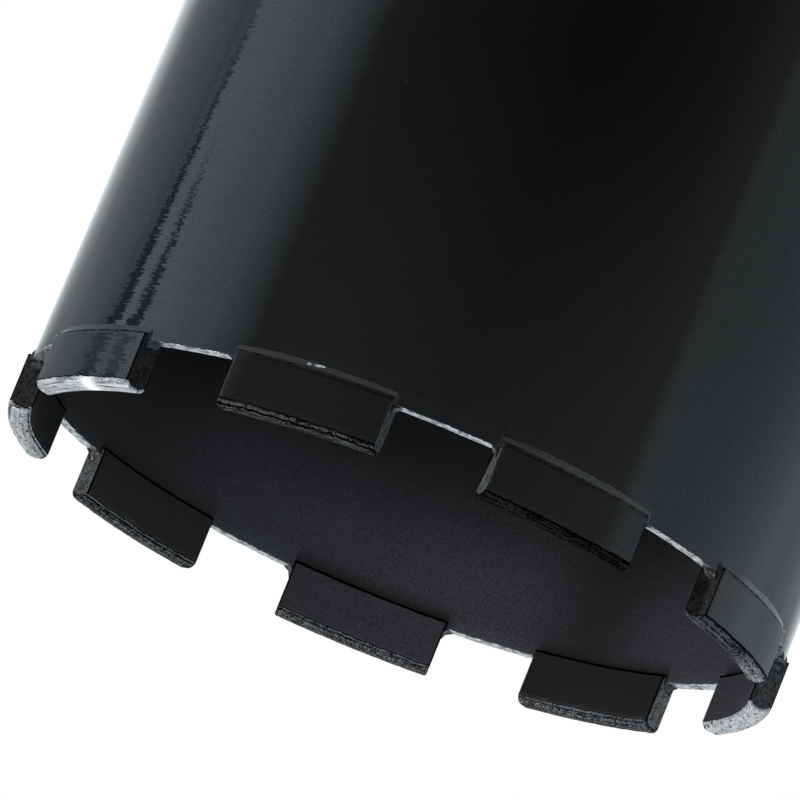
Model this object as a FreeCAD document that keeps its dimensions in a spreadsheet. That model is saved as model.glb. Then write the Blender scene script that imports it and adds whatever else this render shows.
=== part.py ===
import FreeCAD, Part
import math
import os

import Sketcher

# Diamond core bit, stood on the end face of its threaded hub with the mouth up.
# The origin is the centre of the hub's end face and +Z runs along the axis, out of
# the mouth. All sizes are millimetres. From the floor up: threaded hub, back plate
# welded into the rear of the barrel, the barrel itself, and nine diamond segments
# brazed into shallow seats in its rim.

# Driving dimensions: name, value, what it is
SIZES = [
    ("BitDiameter", 117.0, "hole size: diameter over the outer faces of the segments"),
    ("OuterClearance", 0.75, "how far a segment stands proud of the barrel's outside"),
    ("TubeWall", 2.0, "wall of the barrel"),
    ("BarrelLength", 161.0, "barrel from its rear edge to the rim"),
    ("SegmentCount", 9.0, "segments round the rim"),
    ("SegmentLength", 24.0, "segment between its two parallel end faces"),
    ("SegmentThickness", 3.5, "segment from its inner to its outer face"),
    ("SegmentHeight", 8.4, "segment from its root to its crown"),
    ("SeatDepth", 1.1, "seat milled into the rim for a segment"),
    ("CrownRound", 1.0, "rounding of the crown's two long edges"),
    ("BrazeFilm", 0.1, "braze between a segment and its seat"),
    ("BrazeFillet", 1.4, "leg of the fillet between the rim and a segment's end"),
    ("BrazeHollow", 0.53, "how far the hollow of that fillet is from both of its walls"),
    ("SeamWidth", 1.4, "braze seam on the barrel, along the root of a segment"),
    ("SeamHeight", 0.55, "how far that seam stands off the barrel"),
    ("PlateThickness", 8.0, "back plate"),
    ("PlateInset", 3.0, "rear edge of the barrel beyond the back plate"),
    ("PlateFit", 0.1, "radial gap round the back plate"),
    ("ThreadCore", 28.2, "core diameter of the 1 1/4 inch, 7 per inch female thread"),
    ("ThreadChamfer", 2.0, "lead-in at both ends of the thread"),
    ("SpigotWall", 3.9, "wall of the spigot that locates the hub in the back plate"),
    ("SpigotFit", 0.1, "radial gap round the spigot"),
    ("HubShoulder", 6.0, "width of the hub's shoulder, which makes the hub 48 across"),
    ("HubLength", 40.0, "hub from its end face to its shoulder"),
    ("HubEdge", 1.2, "chamfer on the hub's outer edge"),
    ("FlatDepth", 3.5, "depth of each spanner flat, which leaves 41 across the two"),
    ("FlatsLength", 26.0, "spanner flats along the hub"),
    ("PlateWeldLeg", 2.5, "fillet weld between the back plate and the barrel"),
    ("HubWeldLeg", 5.0, "fillet weld between the hub and the back plate"),
    ("WeldCrown", 0.6, "height of a weld's middle, as a part of its leg"),
    ("CutMargin", 5.0, "how far a cutting shape runs past the wall that it cuts"),
]
START = {name: value for name, value, note in SIZES}

# Heights and radii that several pieces share, as expressions on the sheet
TUBE_OUTER = "(Sizes.BitDiameter / 2 - Sizes.OuterClearance)"
TUBE_INNER = f"({TUBE_OUTER} - Sizes.TubeWall)"
SEGMENT_OUTER = "(Sizes.BitDiameter / 2)"
SEGMENT_INNER = f"({SEGMENT_OUTER} - Sizes.SegmentThickness)"
HALF_SEGMENT = "(Sizes.SegmentLength / 2)"
HALF_SEAT = f"({HALF_SEGMENT} + Sizes.BrazeFilm)"
PLATE_REAR = "Sizes.HubLength"
PLATE_FRONT = "(Sizes.HubLength + Sizes.PlateThickness)"
BARREL_REAR = "(Sizes.HubLength - Sizes.PlateInset)"
RIM = f"({BARREL_REAR} + Sizes.BarrelLength)"
SEAT_FLOOR = f"({RIM} - Sizes.SeatDepth)"
SEGMENT_ROOT = f"({SEAT_FLOOR} + Sizes.BrazeFilm)"
CORE_RADIUS = "(Sizes.ThreadCore / 2)"
SPIGOT_RADIUS = f"({CORE_RADIUS} + Sizes.SpigotWall)"
HUB_RADIUS = f"({SPIGOT_RADIUS} + Sizes.HubShoulder)"

FULL_TURN = 360.0
QUARTER_TURN = 90.0
UP = FreeCAD.Vector(0, 0, 1)
SAME_HEIGHT = 1e-4
PARTS_FOLDER = "parts"

doc = FreeCAD.newDocument("CoreBit")
sub_parts = []


def fill_sheet():
    """Put each driving dimension in a cell of its own, with its name as alias."""
    sheet = doc.addObject("Spreadsheet::Sheet", "Sizes")
    for row, (name, value, note) in enumerate(SIZES, start=1):
        sheet.set(f"A{row}", name)
        sheet.set(f"B{row}", str(value))
        sheet.set(f"C{row}", note)
        sheet.setAlias(f"B{row}", name)
    doc.recompute()


def keep(shape_object, label):
    """Name a finished sub-part and list it for export."""
    shape_object.Label = label
    sub_parts.append(shape_object)


def new_body(name):
    """Start a body for one sub-part."""
    return doc.addObject("PartDesign::Body", name)


def origin_feature(body, role):
    """Return the plane or axis of the body's own origin that has this role."""
    return next(item for item in body.Origin.OriginFeatures if item.Role == role)


def new_sketch(body, name, plane_role, offset=None):
    """Attach a sketch to a plane of the body's origin, at an offset along its normal."""
    sketch = body.newObject("Sketcher::SketchObject", name)
    sketch.AttachmentSupport = [(origin_feature(body, plane_role), "")]
    sketch.MapMode = "FlatFace"
    if offset:
        sketch.setExpression("AttachmentOffset.Base.z", offset)
    return sketch


def bind(sketch, constraint, expression):
    """Add a constraint and tie its value to the sheet."""
    index = sketch.addConstraint(constraint)
    sketch.setExpression(f"Constraints[{index}]", expression)


def place_point(sketch, element, end, across, along):
    """Fix one end of an element by its two distances from the sketch's origin."""
    for kind, axis, distance in (("DistanceX", -2, across), ("DistanceY", -1, along)):
        if distance == "0":
            sketch.addConstraint(Sketcher.Constraint("PointOnObject", element, end, axis))
        else:
            bind(sketch, Sketcher.Constraint(kind, -1, 1, element, end, 1.0), distance)


def closed_outline(sketch, corners):
    """Draw a closed loop of straight lines through corners given as expressions."""
    first = sketch.GeometryCount
    count = len(corners)
    angles = [FULL_TURN * k / count for k in range(count)]
    spread = [FreeCAD.Vector(math.cos(math.radians(a)), math.sin(math.radians(a)), 0) for a in angles]
    for k in range(count):
        sketch.addGeometry(Part.LineSegment(spread[k], spread[(k + 1) % count]), False)
    for k in range(count):
        after = first + (k + 1) % count
        sketch.addConstraint(Sketcher.Constraint("Coincident", first + k, 2, after, 1))
    for k, (across, along) in enumerate(corners):
        place_point(sketch, first + k, 1, across, along)


def centred_circle(sketch, start_radius, radius):
    """Draw a circle about the sketch's origin."""
    circle = Part.Circle(FreeCAD.Vector(0, 0, 0), UP, start_radius)
    index = sketch.addGeometry(circle, False)
    sketch.addConstraint(Sketcher.Constraint("Coincident", index, 3, -1, 1))
    bind(sketch, Sketcher.Constraint("Radius", index, start_radius), radius)


def pad(body, name, sketch, length):
    """Pad a sketch along its normal."""
    feature = body.newObject("PartDesign::Pad", name)
    feature.Profile = sketch
    feature.setExpression("Length", length)
    return feature


def pocket(body, name, sketch, depth, upward=False):
    """Cut a sketch into the body, downward unless told otherwise, and check that it cut."""
    doc.recompute()
    before = body.Shape.Volume
    feature = body.newObject("PartDesign::Pocket", name)
    feature.Profile = sketch
    feature.Reversed = upward
    feature.setExpression("Length", depth)
    doc.recompute()
    if not body.Shape.Volume < before:
        raise RuntimeError(f"{name} removes nothing")
    return feature


def turned_body(name, corners):
    """Turn a half section, given as radius and height, about the Z axis."""
    body = new_body(name)
    section = new_sketch(body, name + "_section", "XZ_Plane")
    closed_outline(section, corners)
    turn = body.newObject("PartDesign::Revolution", name + "_turn")
    turn.Profile = section
    turn.ReferenceAxis = (origin_feature(body, "Z_Axis"), [""])
    turn.Angle = FULL_TURN
    return body


def turn_to_station(number):
    """Placement that turns a piece made at the +Y station to its own station."""
    angle = FULL_TURN / START["SegmentCount"] * (number - 1)
    return FreeCAD.Placement(FreeCAD.Vector(0, 0, 0), FreeCAD.Rotation(UP, angle))


# Barrel: a plain tube with a shallow seat milled across its rim for each segment

def make_barrel():
    body = new_body("core_barrel")
    ring = new_sketch(body, "tube_ring", "XY_Plane", BARREL_REAR)
    outer = START["BitDiameter"] / 2 - START["OuterClearance"]
    centred_circle(ring, outer, TUBE_OUTER)
    centred_circle(ring, outer - START["TubeWall"], TUBE_INNER)
    pad(body, "tube", ring, "Sizes.BarrelLength")
    seat = new_sketch(body, "seat_plan", "XY_Plane", RIM)
    inside = f"{TUBE_INNER} - Sizes.CutMargin"
    outside = f"{TUBE_OUTER} + Sizes.CutMargin"
    corners = [
        (f"-{HALF_SEAT}", inside),
        (HALF_SEAT, inside),
        (HALF_SEAT, outside),
        (f"-{HALF_SEAT}", outside),
    ]
    closed_outline(seat, corners)
    first_seat = pocket(body, "seat", seat, "Sizes.SeatDepth")
    pattern = body.newObject("PartDesign::PolarPattern", "seats")
    pattern.Originals = [first_seat]
    pattern.Axis = (origin_feature(body, "Z_Axis"), [""])
    pattern.Angle = FULL_TURN
    pattern.setExpression("Occurrences", "Sizes.SegmentCount")
    body.Tip = pattern
    keep(body, "core_barrel")


# Diamond segments: curved to the bit's circle, parallel ends, rounded crown

def segment_plan(body):
    """Two arcs about the bit's axis, joined by two ends parallel to the station's radius."""
    plan = new_sketch(body, "segment_plan", "XY_Plane", SEGMENT_ROOT)
    start_radii = (START["BitDiameter"] / 2, START["BitDiameter"] / 2 - START["SegmentThickness"])
    half = START["SegmentLength"] / 2
    ends = []
    for radius, bound in zip(start_radii, (SEGMENT_OUTER, SEGMENT_INNER)):
        lean = math.asin(half / radius)
        circle = Part.Circle(FreeCAD.Vector(0, 0, 0), UP, radius)
        arc = Part.ArcOfCircle(circle, math.pi / 2 - lean, math.pi / 2 + lean)
        index = plan.addGeometry(arc, False)
        plan.addConstraint(Sketcher.Constraint("Coincident", index, 3, -1, 1))
        bind(plan, Sketcher.Constraint("Radius", index, radius), bound)
        bind(plan, Sketcher.Constraint("DistanceX", -1, 1, index, 1, half), HALF_SEGMENT)
        bind(plan, Sketcher.Constraint("DistanceX", -1, 1, index, 2, -half), f"-{HALF_SEGMENT}")
        rise = math.cos(lean) * radius
        ends.append((index, FreeCAD.Vector(half, rise, 0), FreeCAD.Vector(-half, rise, 0)))
    (outer, outer_right, outer_left), (inner, inner_right, inner_left) = ends
    for end, at_outer, at_inner in ((1, outer_right, inner_right), (2, outer_left, inner_left)):
        line = plan.addGeometry(Part.LineSegment(at_outer, at_inner), False)
        plan.addConstraint(Sketcher.Constraint("Coincident", line, 1, outer, end))
        plan.addConstraint(Sketcher.Constraint("Coincident", line, 2, inner, end))
    return plan


def long_crown_edges(block):
    """Names of the two curved edges at the top of a segment."""
    top = block.Shape.BoundBox.ZMax
    names = []
    for number, edge in enumerate(block.Shape.Edges, start=1):
        level = all(abs(vertex.Z - top) < SAME_HEIGHT for vertex in edge.Vertexes)
        if level and isinstance(edge.Curve, Part.Circle):
            names.append(f"Edge{number}")
    return names


def make_segment(number):
    body = new_body(f"segment_{number}")
    block = pad(body, "segment_block", segment_plan(body), "Sizes.SegmentHeight")
    doc.recompute()
    crown = body.newObject("PartDesign::Fillet", "crown_round")
    crown.Base = (block, long_crown_edges(block))
    crown.setExpression("Radius", "Sizes.CrownRound")
    body.Tip = crown
    body.Placement = turn_to_station(number)
    keep(body, f"segment_{number}")


# Braze joints: the film in the seat, a hollow fillet at each end of the segment where
# it meets the rim, and a sloping seam on the barrel's outside along the root

def braze_outline():
    """Front view of a braze joint: a shallow tray with a hollow fillet at each end."""
    sketch = doc.addObject("Sketcher::SketchObject", "braze_outline")
    facing = FreeCAD.Rotation(FreeCAD.Vector(1, 0, 0), QUARTER_TURN)
    sketch.Placement = FreeCAD.Placement(FreeCAD.Vector(0, 0, 0), facing)
    fillet_end = f"({HALF_SEGMENT} + Sizes.BrazeFillet)"
    fillet_top = f"({RIM} + Sizes.BrazeFillet)"
    corners = [
        (f"-{fillet_end}", RIM),
        (f"-{HALF_SEGMENT} - Sizes.BrazeHollow", f"{RIM} + Sizes.BrazeHollow"),
        (f"-{HALF_SEGMENT}", fillet_top),
        (f"-{HALF_SEGMENT}", SEGMENT_ROOT),
        (HALF_SEGMENT, SEGMENT_ROOT),
        (HALF_SEGMENT, fillet_top),
        (f"{HALF_SEGMENT} + Sizes.BrazeHollow", f"{RIM} + Sizes.BrazeHollow"),
        (fillet_end, RIM),
        (HALF_SEAT, RIM),
        (HALF_SEAT, SEAT_FLOOR),
        (f"-{HALF_SEAT}", SEAT_FLOOR),
        (f"-{HALF_SEAT}", RIM),
    ]
    closed_outline(sketch, corners)
    return sketch


def cylinder(name, radius, bottom, height):
    """Upright cylinder on the bit's axis."""
    shape = doc.addObject("Part::Cylinder", name)
    shape.setExpression("Radius", radius)
    shape.setExpression("Height", height)
    shape.setExpression("Placement.Base.z", bottom)
    return shape


def boolean(kind, name, base, tool):
    """Combine two shapes."""
    result = doc.addObject(kind, name)
    result.Base = base
    result.Tool = tool
    return result


def make_braze_joints():
    band_bottom = f"{SEAT_FLOOR} - Sizes.CutMargin"
    band_height = "Sizes.CutMargin * 2 + Sizes.SeatDepth"
    outer = cylinder("wall_outside", TUBE_OUTER, band_bottom, band_height)
    inner = cylinder("wall_inside", TUBE_INNER, band_bottom, band_height)
    wall = boolean("Part::Cut", "wall_band", outer, inner)
    slab = doc.addObject("Part::Extrusion", "braze_slab")
    slab.Base = braze_outline()
    slab.DirMode = "Custom"
    slab.Dir = FreeCAD.Vector(0, 1, 0)
    slab.setExpression("LengthFwd", f"{TUBE_OUTER} + Sizes.CutMargin")
    slab.Solid = True
    tray = boolean("Part::Common", "braze_tray", wall, slab)

    cone = doc.addObject("Part::Cone", "seam_cone")
    cone.setExpression("Radius1", TUBE_OUTER)
    cone.setExpression("Radius2", f"{TUBE_OUTER} + Sizes.SeamHeight")
    cone.setExpression("Height", "Sizes.SeamWidth")
    cone.setExpression("Placement.Base.z", f"{SEGMENT_ROOT} - Sizes.SeamWidth")
    core = cylinder("seam_core", TUBE_OUTER, band_bottom, band_height)
    ring = boolean("Part::Cut", "seam_ring", cone, core)
    window = doc.addObject("Part::Box", "seam_window")
    window.setExpression("Length", "Sizes.SegmentLength")
    window.setExpression("Width", f"{SEGMENT_OUTER} + Sizes.CutMargin")
    window.setExpression("Height", band_height)
    window.setExpression("Placement.Base.x", f"-{HALF_SEGMENT}")
    window.setExpression("Placement.Base.z", band_bottom)
    seam = boolean("Part::Common", "braze_seam", ring, window)

    for number in range(1, int(START["SegmentCount"]) + 1):
        joint = boolean("Part::Fuse", f"braze_{number}", tray, seam)
        joint.Placement = turn_to_station(number)
        keep(joint, f"braze_{number}")


# Rear end: back plate, threaded hub and the two fillet welds that hold them

def make_back_plate():
    hole = f"{SPIGOT_RADIUS} + Sizes.SpigotFit"
    edge = f"{TUBE_INNER} - Sizes.PlateFit"
    corners = [
        (hole, PLATE_REAR),
        (edge, PLATE_REAR),
        (edge, PLATE_FRONT),
        (hole, PLATE_FRONT),
    ]
    keep(turned_body("back_plate", corners), "back_plate")


def make_hub():
    mouth = f"{CORE_RADIUS} + Sizes.ThreadChamfer"
    corners = [
        (mouth, "0"),
        (f"{HUB_RADIUS} - Sizes.HubEdge", "0"),
        (HUB_RADIUS, "Sizes.HubEdge"),
        (HUB_RADIUS, PLATE_REAR),
        (SPIGOT_RADIUS, PLATE_REAR),
        (SPIGOT_RADIUS, PLATE_FRONT),
        (mouth, PLATE_FRONT),
        (CORE_RADIUS, f"{PLATE_FRONT} - Sizes.ThreadChamfer"),
        (CORE_RADIUS, "Sizes.ThreadChamfer"),
    ]
    body = turned_body("threaded_hub", corners)
    flats = new_sketch(body, "flats_plan", "XY_Plane")
    reach = f"{HUB_RADIUS} + Sizes.CutMargin"
    for side in ("", "-"):
        near = f"{side}({HUB_RADIUS} - Sizes.FlatDepth)"
        far = f"{side}({reach})"
        closed_outline(flats, [(near, f"-({reach})"), (far, f"-({reach})"), (far, reach), (near, reach)])
    pocket(body, "spanner_flats", flats, "Sizes.FlatsLength", upward=True)
    keep(body, "threaded_hub")


def weld_ring(name, corner_radius, leg, outward):
    """Fillet weld under the back plate, against a wall at corner_radius."""
    side = "+" if outward else "-"
    corners = [
        (corner_radius, PLATE_REAR),
        (f"{corner_radius} {side} {leg}", PLATE_REAR),
        (f"{corner_radius} {side} {leg} * Sizes.WeldCrown", f"{PLATE_REAR} - {leg} * Sizes.WeldCrown"),
        (corner_radius, f"{PLATE_REAR} - {leg}"),
    ]
    keep(turned_body(name, corners), name)


def check_document():
    """Stop if any feature failed, or if a sub-part isn't one valid solid."""
    for item in doc.Objects:
        if "Invalid" in item.State or "Error" in item.State:
            raise RuntimeError(f"{item.Name} failed: {item.State}")
    for item in sub_parts:
        shape = item.Shape
        if shape.isNull() or not shape.isValid() or len(shape.Solids) != 1:
            raise RuntimeError(f"{item.Label} isn't one valid solid")


def write_parts():
    """Write each sub-part to a STEP file that carries its name."""
    os.makedirs(PARTS_FOLDER, exist_ok=True)
    for item in sub_parts:
        item.Shape.exportStep(os.path.join(PARTS_FOLDER, item.Label + ".step"))
        print(f"{item.Label}: {item.Shape.Volume:.1f} mm3")


fill_sheet()
make_barrel()
for station in range(1, int(START["SegmentCount"]) + 1):
    make_segment(station)
make_braze_joints()
make_back_plate()
make_hub()
weld_ring("hub_weld", HUB_RADIUS, "Sizes.HubWeldLeg", outward=True)
weld_ring("plate_weld", TUBE_INNER, "Sizes.PlateWeldLeg", outward=False)
doc.recompute()
check_document()
write_parts()
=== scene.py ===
import math
from collections import namedtuple

import bpy
import numpy as np
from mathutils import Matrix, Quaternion, Vector


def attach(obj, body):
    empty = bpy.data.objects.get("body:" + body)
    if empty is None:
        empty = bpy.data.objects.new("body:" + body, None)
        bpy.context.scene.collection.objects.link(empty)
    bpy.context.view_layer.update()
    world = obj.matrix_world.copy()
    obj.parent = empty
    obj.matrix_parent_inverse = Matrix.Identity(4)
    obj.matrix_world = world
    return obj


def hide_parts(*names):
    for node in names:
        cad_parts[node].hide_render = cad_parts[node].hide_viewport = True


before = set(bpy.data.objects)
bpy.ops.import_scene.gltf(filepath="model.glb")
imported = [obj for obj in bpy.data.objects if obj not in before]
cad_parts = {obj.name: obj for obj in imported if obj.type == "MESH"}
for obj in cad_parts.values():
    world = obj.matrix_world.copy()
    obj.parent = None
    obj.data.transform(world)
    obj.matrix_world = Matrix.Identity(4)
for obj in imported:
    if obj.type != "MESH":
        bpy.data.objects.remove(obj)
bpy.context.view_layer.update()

MM = 0.001
TAU = 2 * math.pi

# Sizes in millimetres, as in the part's own drawing
BIT_RADIUS = 58.5
TUBE_OUTER = 57.75
TUBE_INNER = 55.75
BARREL_REAR = 37.0
RIM = 198.0
SEAT_DEPTH = 1.1
BRAZE_FILM = 0.1
SEGMENT_LENGTH = 24.0
SEGMENT_THICKNESS = 3.5
SEGMENT_HEIGHT = 8.4
SEGMENT_INNER = BIT_RADIUS - SEGMENT_THICKNESS
ROOT = RIM - SEAT_DEPTH + BRAZE_FILM
CROWN = ROOT + SEGMENT_HEIGHT
STATIONS = 9
PITCH_ANGLE = TAU / STATIONS
SEAM_WIDTH = 1.25
SEAM_HEIGHT = 0.42
BRAZE_FILLET = 1.4
PLATE_REAR = 40.0
PLATE_FRONT = 48.0
PLATE_GAP = 0.1
PLATE_EDGE = 0.3
PLATE_WELD_LEG = 2.5
HUB_RADIUS = 24.0
HUB_EDGE = 1.2
HUB_WELD_LEG = 5.0
SPIGOT_RADIUS = 18.0
FLAT_HALF = 20.5
FLAT_TOP = 26.0
THREAD_CORE = 14.1
THREAD_PITCH = 25.4 / 7
THREAD_DEPTH = 1.7
THREAD_CHAMFER = 2.0

SHARP_ANGLE = math.radians(32)
LATHE_RISE = 2.7
QUARTER = TAU / 4


# Noise on points, in numpy: one value for each lattice corner, blended smoothly between

HASH_AXES = np.array([374761393, 668265263, 2147483647])
HASH_SEED = 1274126177
HASH_MIX = 1103515245
HASH_BITS = 0xFFFFFF


def lattice_value(cell, seed):
    """A fixed pseudo-random number from 0 to 1 for each whole-number cell.

    The cell's numbers and the seed are added, each times a large whole number, and the bits are mixed."""
    mixed = (cell * HASH_AXES).sum(axis=-1) + seed * HASH_SEED
    mixed = (mixed ^ (mixed >> 13)) * HASH_MIX
    mixed = mixed ^ (mixed >> 16)
    return (mixed & HASH_BITS) / float(HASH_BITS)


def noise(points, cell_size, seed=0):
    """Value noise from -1 to 1: the corner values of each cell, weighted by 3t^2 - 2t^3 along each axis."""
    scaled = points / np.asarray(cell_size, float)
    base = np.floor(scaled).astype(np.int64)
    part = scaled - base
    weight = part * part * (3 - 2 * part)
    total = np.zeros(points.shape[:-1])
    for corner in range(8):
        step = np.array([corner & 1, corner >> 1 & 1, corner >> 2 & 1])
        share = np.prod(np.where(step == 1, weight, 1 - weight), axis=-1)
        total = total + share * lattice_value(base + step, seed)
    return 2 * total - 1


def layered_noise(points, cell_size, layers, seed=0):
    """Sum of noise layers, each half the size and half the height of the one before."""
    total, height = 0.0, 1.0
    for layer in range(layers):
        total = total + height * noise(points, np.asarray(cell_size, float) / 2 ** layer, seed + layer)
        height = height / 2
    return total


def smooth_step(low, high, value):
    """0 below low, 1 above high, and a smooth 3t^2 - 2t^3 between."""
    part = np.clip((value - low) / (high - low), 0, 1)
    return part * part * (3 - 2 * part)


# Meshes from grids of points

def grid_faces(rows, columns, first=0, close_rows=False):
    """Quads between neighbouring rows of a grid whose columns close on themselves."""
    row = np.arange(rows if close_rows else rows - 1)[:, None]
    column = np.arange(columns)[None, :]
    after = (column + 1) % columns
    above = (row + 1) % rows
    low_row = first + row * columns
    high_row = first + above * columns
    corners = [low_row + column, low_row + after, high_row + after, high_row + column]
    return np.stack(corners, axis=-1).reshape(-1, 4)


def lathe_place(points):
    """Coordinates for marks left by turning.

    Two go round the axis at tube size, and the third is the height plus LATHE_RISE radii. Noise that is drawn
    out along the first two gives fine lines round the axis, on walls as well as on faces."""
    radius = np.maximum(np.hypot(points[:, 0], points[:, 1]), 1e-3)
    around = points[:, :2] / radius[:, None] * TUBE_OUTER
    return np.column_stack([around, LATHE_RISE * radius + points[:, 2]]) * MM


def mesh_from(name, vertices, quads, triangles, marks):
    """A mesh object from vertices in millimetres, faces, and one number per vertex for each mark."""
    mesh = bpy.data.meshes.new(name)
    corners = np.concatenate([quads.ravel(), triangles.ravel()]).astype(np.int32)
    sizes = np.concatenate([np.full(len(quads), 4), np.full(len(triangles), 3)]).astype(np.int32)
    mesh.vertices.add(len(vertices))
    mesh.vertices.foreach_set("co", (vertices * MM).astype(np.float32).ravel())
    mesh.loops.add(len(corners))
    mesh.loops.foreach_set("vertex_index", corners)
    mesh.polygons.add(len(sizes))
    mesh.polygons.foreach_set("loop_start", np.concatenate([[0], np.cumsum(sizes)[:-1]]).astype(np.int32))
    mesh.polygons.foreach_set("loop_total", sizes)
    mesh.update(calc_edges=True)
    mesh.validate()
    mesh.polygons.foreach_set("use_smooth", np.ones(len(mesh.polygons), bool))
    mesh.set_sharp_from_angle(angle=SHARP_ANGLE)
    marks = dict(marks, lathe=lathe_place(vertices))
    for mark, values in marks.items():
        kind, field = ("FLOAT_VECTOR", "vector") if np.ndim(values) == 2 else ("FLOAT", "value")
        layer = mesh.attributes.new(mark, kind, "POINT")
        layer.data.foreach_set(field, np.asarray(values, np.float32).ravel())
    piece = bpy.data.objects.new(name, mesh)
    bpy.context.scene.collection.objects.link(piece)
    return piece


def capped(loops):
    """The same closed loops with one more at each end, shrunk to the middle of its neighbour."""
    first = np.broadcast_to(loops[:1].mean(axis=1, keepdims=True), loops[:1].shape)
    last = np.broadcast_to(loops[-1:].mean(axis=1, keepdims=True), loops[-1:].shape)
    return np.concatenate([first, loops, last])


NO_TRIANGLES = np.zeros((0, 3), np.int64)


class Shell:
    """Collects closed surfaces that make up one piece."""

    def __init__(self):
        self.vertices, self.quads, self.triangles, self.marks = [], [], [], {}
        self.count = 0

    def add(self, points, quads, triangles, marks):
        self.vertices.append(points)
        self.quads.append(quads)
        self.triangles.append(triangles)
        for mark, values in marks.items():
            self.marks.setdefault(mark, []).append(values)
        self.count += len(points)

    def ring(self, grid, **marks):
        """Add a surface whose rows and columns both close on themselves, like a ring."""
        rows, columns = grid.shape[:2]
        flat = {mark: np.broadcast_to(v, (rows, columns)).ravel() for mark, v in marks.items()}
        self.add(grid.reshape(-1, 3), grid_faces(rows, columns, self.count, True), NO_TRIANGLES, flat)

    def bar(self, grid, **marks):
        """Add a surface whose first and last rows each shrink to one point, like a bar with two ends."""
        rows, columns = grid.shape[:2]
        first_pole, last_pole = self.count, self.count + 1
        start = self.count + 2
        points = np.concatenate([grid[:1].mean(axis=1), grid[-1:].mean(axis=1), grid[1:-1].reshape(-1, 3)])
        flat = {}
        for mark, values in marks.items():
            v = np.broadcast_to(values, (rows, columns) + np.shape(values)[2:])
            flat[mark] = np.concatenate([v[0, :1], v[-1, :1], v[1:-1].reshape(-1, *v.shape[2:])])
        column = np.arange(columns)
        after = (column + 1) % columns
        last_row = start + (rows - 3) * columns
        triangles = np.concatenate([
            np.stack([np.full(columns, first_pole), start + after, start + column], axis=-1),
            np.stack([np.full(columns, last_pole), last_row + column, last_row + after], axis=-1),
        ])
        self.add(points, grid_faces(rows - 2, columns, start), triangles, flat)

    def piece(self, name):
        marks = {mark: np.concatenate(values) for mark, values in self.marks.items()}
        return mesh_from(name, np.concatenate(self.vertices), np.concatenate(self.quads),
                         np.concatenate(self.triangles), marks)


def station_angle(number):
    """Direction of a station's middle; station 1 is at +Y and they go on anticlockwise from above."""
    return QUARTER + PITCH_ANGLE * (number - 1)


def station_tangent(number):
    """Direction in which the distance across a station grows."""
    middle = station_angle(number)
    return np.array([math.sin(middle), -math.cos(middle), 0.0])


def at_station(across, radius, height, number):
    """Points from their distance across the station's radius, their radius and their height."""
    along = np.sqrt(np.maximum(radius ** 2 - across ** 2, 0))
    middle = station_angle(number)
    x = along * math.cos(middle) + across * math.sin(middle)
    y = along * math.sin(middle) - across * math.cos(middle)
    return np.stack(np.broadcast_arrays(x, y, height), axis=-1)


# Shader maths written as expressions

class Wire:
    """A value or colour inside a material; operators on it add Math nodes."""

    def __init__(self, tree, socket):
        self.tree, self.socket = tree, socket

    def node(self, kind, settings=None, out=0, **inputs):
        """Add a node with its settings, then the values or links of its sockets; spaces are underscores."""
        node = self.tree.nodes.new(kind)
        for key, value in (settings or {}).items():
            if key == "stops":
                self.set_stops(node.color_ramp.elements, value)
            else:
                setattr(node, key, value)
        for key, value in inputs.items():
            number = int(key[1:]) if key[0] == "n" and key[1:].isdigit() else key.replace("_", " ")
            if isinstance(value, Wire):
                self.tree.links.new(value.socket, node.inputs[number])
            else:
                node.inputs[number].default_value = value
        return Wire(self.tree, node.outputs[out] if node.outputs else None)

    def set_stops(self, stops, greys):
        """Fill a colour ramp with pairs of place and grey; the first is at 0 and the last at 1."""
        for stop, (place, grey) in zip(stops, (greys[0], greys[-1])):
            stop.color = (grey, grey, grey, 1.0)
        for place, grey in greys[1:-1]:
            stops.new(place).color = (grey, grey, grey, 1.0)

    def math(self, operation, other=0.0):
        return self.node("ShaderNodeMath", {"operation": operation}, n0=self, n1=other)

    def __add__(self, other):
        return self.math("ADD", other)

    __radd__ = __add__

    def __sub__(self, other):
        return self.math("SUBTRACT", other)

    def __rsub__(self, other):
        return self.node("ShaderNodeMath", {"operation": "SUBTRACT"}, n0=other, n1=self)

    def __mul__(self, other):
        return self.math("MULTIPLY", other)

    __rmul__ = __mul__

    def __truediv__(self, other):
        return self.math("DIVIDE", other)

    def step(self, low, high, to_low=0.0, to_high=1.0):
        """Smooth step from to_low at low to to_high at high."""
        settings = {"interpolation_type": "SMOOTHSTEP"}
        return self.node("ShaderNodeMapRange", settings, n0=self, n1=low, n2=high, n3=to_low, n4=to_high)

    def bell(self, middle, width):
        """1 at middle, falling to 0.37 at width from it and to nothing beyond."""
        return (((self - middle) / width).math("POWER", 2.0) * -1).math("EXPONENT")

    def blend(self, first, second):
        """Mix two colours, with this value as the share of the second."""
        first, second = [c if isinstance(c, Wire) else (*c, 1.0) for c in (first, second)]
        settings = {"data_type": "RGBA"}
        return self.node("ShaderNodeMix", settings, out=2, n0=self, n6=first, n7=second)


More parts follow.
